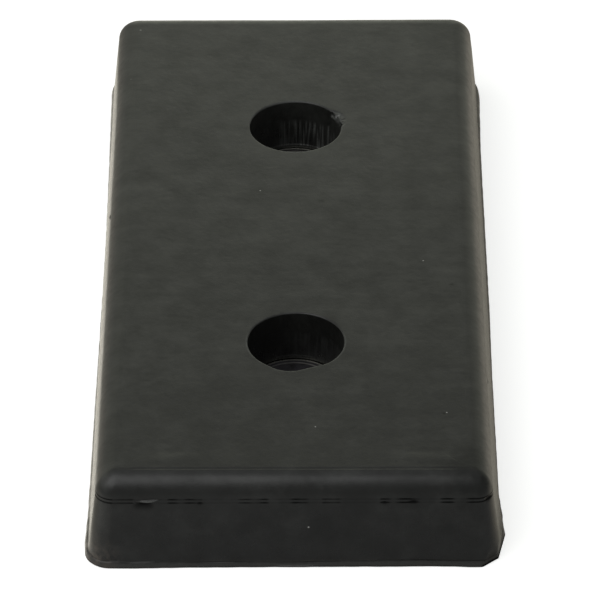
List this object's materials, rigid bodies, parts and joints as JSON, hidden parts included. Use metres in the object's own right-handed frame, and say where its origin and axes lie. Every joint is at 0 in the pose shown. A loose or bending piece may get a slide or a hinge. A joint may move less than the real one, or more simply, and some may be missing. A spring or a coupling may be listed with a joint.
{
  "type": "rubber dock bumper",
  "caption": "Flat moulded rubber buffer block with a rounded upper edge, drafted walls and counterbored bolt holes seated on steel washers, for dock faces, walls and kerbs.",
  "frame": {"origin": "centre of the flat mounting face under the block", "axes": "+Z from the mounting face to the face that takes the blows, +Y along the length and the line of bolt holes, +X across the width"},
  "size_m": [0.21, 0.45, 0.05],
  "materials": {
    "black_rubber": "moulded, dull satin with fine mottling, paler scuffs and torn flash at the parting line",
    "washer_steel": "bare punched steel, dull grey, brighter on the rolled rim"
  },
  "bodies": {
    "root": {"rubber_body": "black_rubber", "seat_washer_front": "washer_steel", "seat_washer_rear": "washer_steel"}
  },
  "joints": []
}
